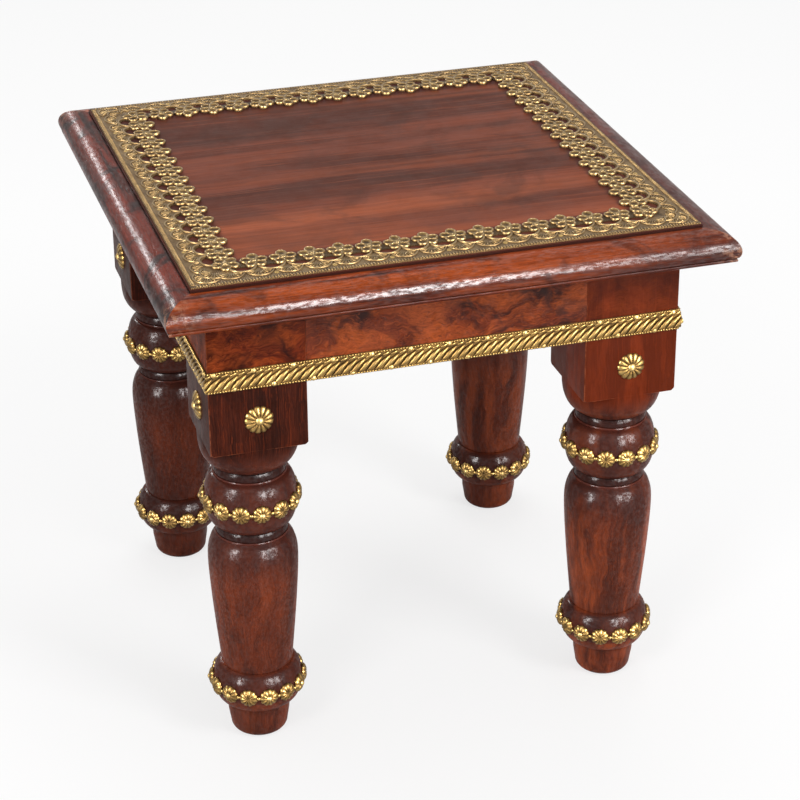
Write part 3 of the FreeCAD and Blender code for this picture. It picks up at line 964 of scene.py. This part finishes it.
# %% One petal and one flower
tip_petal = (3.7 * mm, 4.3 * mm)
side_petal = (3.6 * mm, 3.9 * mm)
tip_reach = 6.0 * mm
side_reach = 5.3 * mm
side_sink = 0.1 * mm
boss_width = 3.6 * mm
cup_level = 0.5 * mm
rim_level = 1.45 * mm
petal_root = 0.3 * mm
petal_rise = 1.5 * mm
# the insets of a petal and the lift after each, in millimetres: onto the rim, across it, down into the cup
petal_steps = ((0.3, 0.3), (0.35, 0.0), (0.4, -0.7), (1.3, -0.25))


def ball(size, segments, rings, lean=0, place=(0, 0, 0)):
    nothing_selected()
    bpy.ops.mesh.primitive_uv_sphere_add(segments=segments, ring_count=rings, radius=0.5, location=place)
    return sized(size, lean)


def make_petal(width, length):
    """A cupped petal: a disc pushed up, with its inside sunk to leave a rim."""
    nothing_selected()
    bpy.ops.mesh.primitive_circle_add(vertices=14, radius=1.0, fill_type="NGON")
    petal = sized((width, length, 1))
    edit_all()
    bpy.ops.transform.translate(value=(0, 0, -petal_root))
    extrude((0, 0, petal_rise))
    for inset, lift in petal_steps:
        bpy.ops.mesh.inset(thickness=inset * mm)
        bpy.ops.transform.translate(value=(0, 0, lift * mm))
    leave_edit()
    return petal


def make_flower():
    """Five cupped petals round a small boss; the petal that points inwards is the longest."""
    tip = make_petal(*tip_petal)
    side = make_petal(*side_petal)
    parts = [copied(tip, spot(0, tip_reach, 0))]
    for angle in (72, -72, 144, -144):
        parts.append(copied(side, turn(angle) @ spot(0, side_reach, -side_sink)))
    parts.append(ball((boss_width, boss_width, boss_width), 10, 6, place=(0, 0, cup_level)))
    discard(tip, side)
    return with_relief(joined(parts), lambda co: 0.15 + 0.95 * share(co.z, cup_level, rim_level))


flower = make_flower()
print("flower:", len(flower.data.polygons), "faces")


# %% Rims of the openings and scallops
def make_rim(radius, thickness):
    """Half of a thin torus, open towards the inside of the border."""
    nothing_selected()
    bpy.ops.mesh.primitive_torus_add(
        major_radius=radius, minor_radius=thickness, major_segments=32, minor_segments=6,
        location=(0, 0, sheet_rise))
    rim = at_origin(bpy.context.object)
    cut((0, 0, 0), (0, 1, 0))
    leave_edit()
    return with_relief(rim, lambda co: share(co.z, sheet_rise, sheet_rise + thickness))


crescent = make_rim(arc_radius, crescent_rim)
scallop = make_rim(arc_radius, scallop_rim)
print("rims:", len(crescent.data.polygons), "faces each")

# %% A fan of ribs for each scallop, and one rib of the milled edge
fan_bar = (0.7 * mm, 5.4 * mm, 1.1 * mm)
fan_reach = 4.9 * mm
fan_angle = 19
edge_bar = (1.05 * mm, 2.7 * mm, 0.8 * mm)


def make_bar(width, length, rise):
    """A thin bar with its edges broken, lying along Y."""
    bar = box_at((0, 0, 0), (width, length, rise))
    bevel_edges(0.3 * min(width, rise), 1)
    leave_edit()
    return with_relief(bar, lambda co: share(co.z, -0.1 * rise, 0.5 * rise))


def make_fan():
    bar = make_bar(*fan_bar)
    parts = []
    for i in range(-4, 5):
        parts.append(copied(bar, turn(fan_angle * i) @ spot(0, -fan_reach, sheet_rise)))
    discard(bar)
    return joined(parts)


fan = make_fan()
rib = make_bar(*edge_bar)
print("fan:", len(fan.data.polygons), "faces")

# %% Lay out one side of the border
rib_end = 3.0 * mm
corner_shift = 8.0 * mm


def row(count, gap):
    """Places along a side, with the middle of the row at zero."""
    return [(i - (count - 1) / 2) * gap for i in range(count)]


def make_border_side():
    rib_count = int(2 * (border_half - rib_end) / rib_pitch) + 1
    parts = [copied(rib, spot(s, rib_line, sheet_rise)) for s in row(rib_count, rib_pitch)]
    outwards = scallop_line - flower_line
    for k in range(flower_count - 1):
        s = k * pitch - border_run / 2
        tilt = turn(-45 if k == 0 else 0)
        parts.append(copied(flower, spot(s, flower_line, sheet_rise) @ tilt))
        parts.append(copied(crescent, spot(s + pitch / 2, crescent_line, 0)))
        for motif in (scallop, fan):
            parts.append(copied(motif, spot(s, flower_line, 0) @ tilt @ spot(0, outwards, 0)))
    corner = spot(-border_run / 2, flower_line, 0)
    for motif in (scallop, fan):
        for angle, place in ((-45, outwards - corner_shift), (0, outwards), (-90, outwards)):
            parts.append(copied(motif, corner @ turn(angle) @ spot(0, place, 0)))
    return joined(parts)


border_side = smooth(make_border_side(), 50)
for side, angle in sides.items():
    relief = copied(border_side, turn(angle) @ spot(0, -border_half, panel_top))
    placed(relief, "border_relief_" + side, "brass", border_brass)
discard(border_side, flower, crescent, scallop, fan, rib)

# %% [markdown]
# ## Rope band round the apron
# The band is a strip with leaning rounded ribs, a row of small leaves above them, and fine beads along
# both edges. A rib is a ball drawn out, leaned over, curled at its ends and half sunk in the strip. A
# bisect at 45 degrees cuts each part off at the corner, so that two sides meet in a mitre.

# %% Sizes of the band
band_sheet = 0.8 * mm
band_reach = apron_half + band_sheet
strip_spare = 8.0 * mm
rope_pitch = 5.6 * mm
rope_level = band_low + 6.1 * mm
strand_size = (4.0 * mm, 4.4 * mm, 13.0 * mm)
strand_lean = 40
strand_curl = 0.7 * mm
leaf_size = (1.7 * mm, 2.4 * mm, 5.6 * mm)
leaf_lean = 66
leaf_shift = 2.4 * mm
leaf_level = band_low + 12.0 * mm
bead_size = (1.75 * mm, 2.2 * mm, 1.7 * mm)
bead_pitch = 1.9 * mm
bead_inset = 0.75 * mm


# %% Strands, leaves and beads
def pick(piece, wanted):
    """Select the vertices whose place passes a test, and go to edit mode."""
    leave_edit()
    for face in piece.data.polygons:
        face.select = False
    for edge in piece.data.edges:
        edge.select = False
    for vertex in piece.data.vertices:
        vertex.select = wanted(vertex.co)
    bpy.ops.object.mode_set(mode="EDIT")
    bpy.ops.mesh.select_mode(type="VERT")


def make_strand():
    """A ball drawn out and leaned over, its ends pushed sideways so that it curls like a strand of rope."""
    depth, length = strand_size[1:]
    strand = ball(strand_size, 10, 10, strand_lean)
    reach = length / 2 * math.cos(math.radians(strand_lean))
    for way in (-1, 1):
        for portion in (0.45, 0.72):
            pick(strand, lambda co: way * co.z > portion * reach)
            bpy.ops.transform.translate(value=(way * strand_curl, 0, 0))
    leave_edit()
    return with_relief(strand, lambda co: share(-co.y, 0.12 * depth, 0.5 * depth))


def make_leaf():
    return with_relief(ball(leaf_size, 8, 5, leaf_lean), lambda co: share(-co.y, 0.0, 0.45 * leaf_size[1]))


def make_bead():
    return with_relief(ball(bead_size, 6, 4), lambda co: 1.15)


def mitred(piece):
    """Cut a piece of the front side off at both mitres, or drop it where all of it lies past one."""
    for way in (-1, 1):
        past = [way * vertex.co.x + vertex.co.y > 0 for vertex in piece.data.vertices]
        if all(past):
            discard(piece)
            return []
        if any(past):
            only(piece)
            cut((0, 0, 0), (way, 1, 0))
            leave_edit()
    return [piece]


# %% One side of the band
def make_band_side():
    middle = (0, -apron_half - band_sheet / 2, (band_low + band_high) / 2)
    strip = box_at(middle, (2 * band_reach + strip_spare, band_sheet, band_high - band_low))
    parts = [with_relief(strip, lambda co: 0.25)]
    strand = make_strand()
    leaf = make_leaf()
    bead = make_bead()
    for s in row(int(2 * band_reach / rope_pitch) + 2, rope_pitch):
        parts.append(copied(strand, spot(s, -band_reach, rope_level)))
        parts.append(copied(leaf, spot(s + leaf_shift, -band_reach, leaf_level)))
    for s in row(int(2 * band_reach / bead_pitch), bead_pitch):
        parts.append(copied(bead, spot(s, -band_reach, band_low + bead_inset)))
        parts.append(copied(bead, spot(s, -band_reach, band_high - bead_inset)))
    discard(strand, leaf, bead)
    return joined([kept for part in parts for kept in mitred(part)])


band_side = smooth(make_band_side(), 60)
for side, angle in sides.items():
    band = copied(band_side, turn(angle))
    placed(band, "rope_band_" + side, "brass", pressed_brass, "apron_band_" + side)
discard(band_side)

# %% [markdown]
# ## Rosettes and chains
# A rosette is a fluted dome, stamped from sheet: petals round a dished centre. It starts as a flattened
# ball whose meridians fall evenly on the petals, so a flute is pressed in by drawing each meridian
# between two petals inwards, and the dish by lowering the middle. The large ones sit on the leg blocks;
# small ones, joined by links, make the chains round the bead and the ring of each leg.

# %% A rosette that faces up
dish_share = 0.3
dish_depth_share = 0.3
base_share = 0.15
flute_share = 0.34
flute_press = (0.92, 0.92, 0.74)


def make_rosette(radius, rise, petals, per_petal, rings):
    """Half a flattened ball, with a flute along one meridian of each petal and a dish in the middle."""
    segments = petals * per_petal
    rosette = ball((2 * radius, 2 * radius, 2 * rise), segments, rings)

    def from_axis(co):
        return math.hypot(co.x, co.y) / radius

    def around(co):
        return math.atan2(co.y, co.x) / (2 * math.pi)

    def brightness(co):
        """Dark in the dish and along the flutes, brightest on the middle of a petal near its tip."""
        if from_axis(co) < dish_share:
            return 0.2
        across = 1 - abs(2 * (around(co) * petals % 1) - 1)
        return share(across, 0.0, 0.9) * (0.45 + 0.65 * share(from_axis(co), dish_share, 0.7))

    pick(rosette, lambda co: round(around(co) * segments) % per_petal == 0 and from_axis(co) > flute_share)
    bpy.ops.transform.resize(value=flute_press, center_override=(0, 0, 0))
    pick(rosette, lambda co: from_axis(co) < dish_share and co.z > 0)
    bpy.ops.transform.translate(value=(0, 0, -dish_depth_share * rise))
    cut((0, 0, -base_share * rise), (0, 0, -1))
    leave_edit()
    return with_relief(rosette, brightness)


# %% Rosettes on the leg blocks
rosette_radius = 9.7 * mm
rosette_rise = 3.3 * mm
face_out = Matrix.Rotation(math.radians(90), 4, "X")
rosette = smooth(make_rosette(rosette_radius, rosette_rise, petals=13, per_petal=4, rings=14), 60)
rosette_level = sum(corner[2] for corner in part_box("rosette_front_left_front")) / 2
side_legs = {
    "front": ("front_left", "front_right"),
    "right": ("front_right", "back_right"),
    "back": ("back_right", "back_left"),
    "left": ("back_left", "front_left"),
}
for side, angle in sides.items():
    for corner, shift in zip(side_legs[side], (-leg_centre, leg_centre)):
        place = turn(angle) @ spot(shift, -apron_half, rosette_level) @ face_out
        node = "rosette_" + corner + "_" + side
        placed(copied(rosette, place), "fluted_" + node, "brass", pressed_brass, node)
discard(rosette)

# %% A chain of small rosettes
bloom_count = 14
bloom_radius = 6.5 * mm
bloom_rise = 3.1 * mm
link_size = (3.4 * mm, 2.8 * mm, 2.4 * mm)
link_stand = 0.9 * mm


def make_chain(radius, level):
    bloom = make_rosette(bloom_radius, bloom_rise, petals=11, per_petal=3, rings=8)
    link = with_relief(ball(link_size, 8, 5), lambda co: share(co.z, -0.2 * mm, 1.0 * mm))
    parts = []
    for i in range(bloom_count):
        around = turn(360 * i / bloom_count)
        between = turn(360 * (i + 0.5) / bloom_count)
        parts.append(copied(bloom, around @ spot(0, -radius, level) @ face_out))
        parts.append(copied(link, between @ spot(0, -radius - link_stand, level) @ face_out))
    discard(bloom, link)
    return smooth(joined(parts), 60)


levels = {
    "upper": (bead_radius, (bead_top + bead_bottom) / 2),
    "lower": (ring_radius, (ring_top + ring_bottom) / 2),
}
for height, (radius, level) in levels.items():
    chain = make_chain(radius, level)
    for corner, (x, y) in corners.items():
        node = "chain_" + height + "_" + corner
        placed(copied(chain, spot(x, y, 0)), "rosette_" + node, "brass", pressed_brass, node)
    discard(chain)

# %% [markdown]
# ## Studio
# A pale floor, soft light from a few panels that stand like windows, a bright surround, and a camera that
# looks down a little from the front left. The floor and the surround are white to the camera and to
# reflections, and the floor still keeps the table's shadow. The floor is wide, so that its far edge never
# shows as a line.

# %% Floor and surround
floor_width = 110.0
white = (1, 1, 1, 1)


def rays(tree):
    """Whether a ray comes from the camera, and whether it comes from a reflection."""
    path = add(tree, "ShaderNodeLightPath").outputs
    return path["Is Camera Ray"], maths(tree, "MAXIMUM", path["Is Glossy Ray"], path["Is Transmission Ray"])


def make_floor():
    nothing_selected()
    bpy.ops.mesh.primitive_plane_add(size=floor_width, location=(0, 0, 0))
    floor = bpy.context.object
    floor.name = "studio_floor"
    material = bpy.data.materials.new("studio_floor")
    material.use_nodes = True
    tree = material.node_tree
    tree.nodes.remove(tree.nodes["Principled BSDF"])
    direct, mirrored = rays(tree)
    glowing = maths(tree, "MAXIMUM", times(tree, direct, 0.72), times(tree, mirrored, 0.15))
    glow = add(tree, "ShaderNodeEmission", Color=white, Strength=1.0)
    matte = add(tree, "ShaderNodeBsdfDiffuse", Color=(0.95, 0.95, 0.95, 1))
    blend = add(tree, "ShaderNodeMixShader")
    for socket, value in zip(blend.inputs, (glowing, matte.outputs[0], glow.outputs[0])):
        feed(tree, socket, value)
    feed(tree, tree.nodes["Material Output"].inputs["Surface"], blend.outputs[0])
    dressed(floor, material)


def make_surround():
    world = bpy.data.worlds.new("studio")
    world.use_nodes = True
    tree = world.node_tree
    light = tree.nodes["Background"]
    feed(tree, light.inputs["Color"], white)
    seen = maths(tree, "MAXIMUM", *rays(tree))
    feed(tree, light.inputs["Strength"], ramp(tree, seen, 0.0, 1.0, 0.55, 1.0))
    bpy.context.scene.world = world


make_floor()
make_surround()
print("floor", floor_width, "m wide")

# %% Lamps
lamp_aim = Vector((0, 0, 0.25))


def make_lamp(name, place, size, watts, reflected):
    """A panel that faces the table; it lights the table or, like a window, only shows in its gloss."""
    nothing_selected()
    bpy.ops.object.light_add(type="AREA", location=place)
    lamp = bpy.context.object
    lamp.name = name
    lamp.data.shape = "RECTANGLE"
    lamp.data.size, lamp.data.size_y = size
    lamp.data.energy = watts
    lamp.rotation_euler = (lamp_aim - Vector(place)).to_track_quat("-Z", "Y").to_euler()
    lamp.visible_diffuse = not reflected
    lamp.visible_glossy = reflected


# the place and the size in metres, and the power in watts
make_lamp("soft_left", (-1.35, -1.5, 1.9), (0.7, 0.7), 16, False)
make_lamp("soft_right", (1.1, -1.75, 1.8), (0.8, 0.8), 24, False)
make_lamp("soft_top", (0.2, 0.9, 2.2), (1.4, 1.0), 14, False)
make_lamp("left_window", (-1.62, -0.88, 0.8), (0.5, 1.25), 70, True)
make_lamp("right_window_inner", (0.44, -1.85, 0.8), (0.44, 1.25), 66, True)
make_lamp("right_window_outer", (1.15, -1.6, 0.8), (0.6, 1.25), 66, True)
make_lamp("back_window", (-0.74, 2.13, 1.2), (0.3, 0.4), 10, True)

# %% Camera
sensor_width = 36.0
camera_place = Vector((-0.4403, -1.5120, 0.9635))
# the turn to the right, the look down and the roll, in radians
camera_turn = 0.2925
camera_drop = 0.4663
camera_roll = -0.0087
focal_pixels = 2433.6
image_pixels = 800
bpy.ops.object.camera_add(location=camera_place)
camera = bpy.context.object
camera.data.sensor_width = sensor_width
camera.data.lens = focal_pixels * sensor_width / image_pixels
level = math.cos(camera_drop)
forward = Vector((math.sin(camera_turn) * level, math.cos(camera_turn) * level, -math.sin(camera_drop)))
right = forward.cross(Vector((0, 0, 1))).normalized()
up = right.cross(forward)
rolled_right = math.cos(camera_roll) * right + math.sin(camera_roll) * up
rolled_up = math.cos(camera_roll) * up - math.sin(camera_roll) * right
facing = Matrix((rolled_right, rolled_up, -forward)).transposed()
camera.rotation_euler = facing.to_euler()
bpy.context.scene.camera = camera
bpy.context.scene.view_settings.view_transform = "Standard"
print("camera lens", round(camera.data.lens, 1), "mm")
